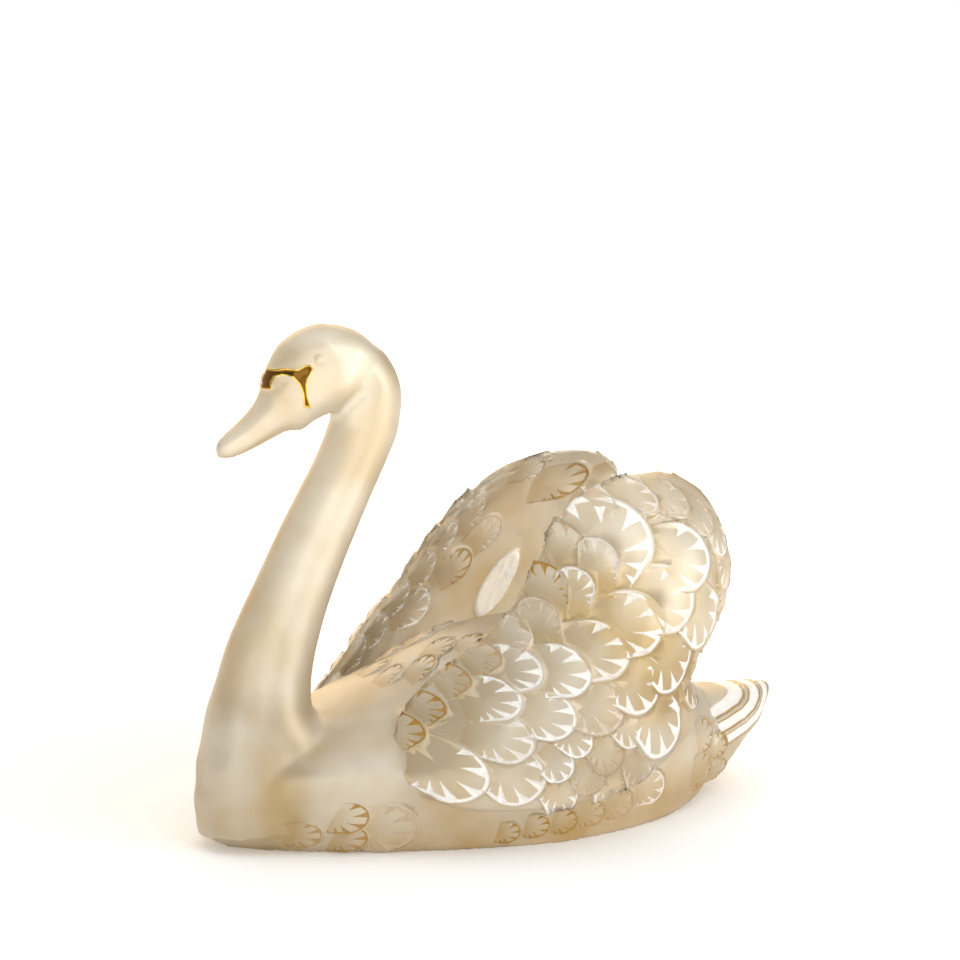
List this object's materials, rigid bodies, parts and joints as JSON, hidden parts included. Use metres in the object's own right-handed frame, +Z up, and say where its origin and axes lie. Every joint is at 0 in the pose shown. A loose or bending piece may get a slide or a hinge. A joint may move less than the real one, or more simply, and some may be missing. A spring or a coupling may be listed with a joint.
{
  "type": "crystal swan sculpture",
  "caption": "Swimming swan in satin crystal with an upright neck, bowed head, raised cupped wings and a lifted tail, standing on its flat underside.",
  "frame": {"origin": "middle of the bounding box at the level of the flat underside", "axes": "+Z up, the swan faces -X, its left side is -Y"},
  "size_m": [0.3, 0.19, 0.2335],
  "materials": {
    "crystal": "satin cast crystal with a warm pearl lustre, polished cuts in the feathers and gold on the bill's base"
  },
  "bodies": {
    "root": {"swan": "crystal"}
  },
  "joints": []
}
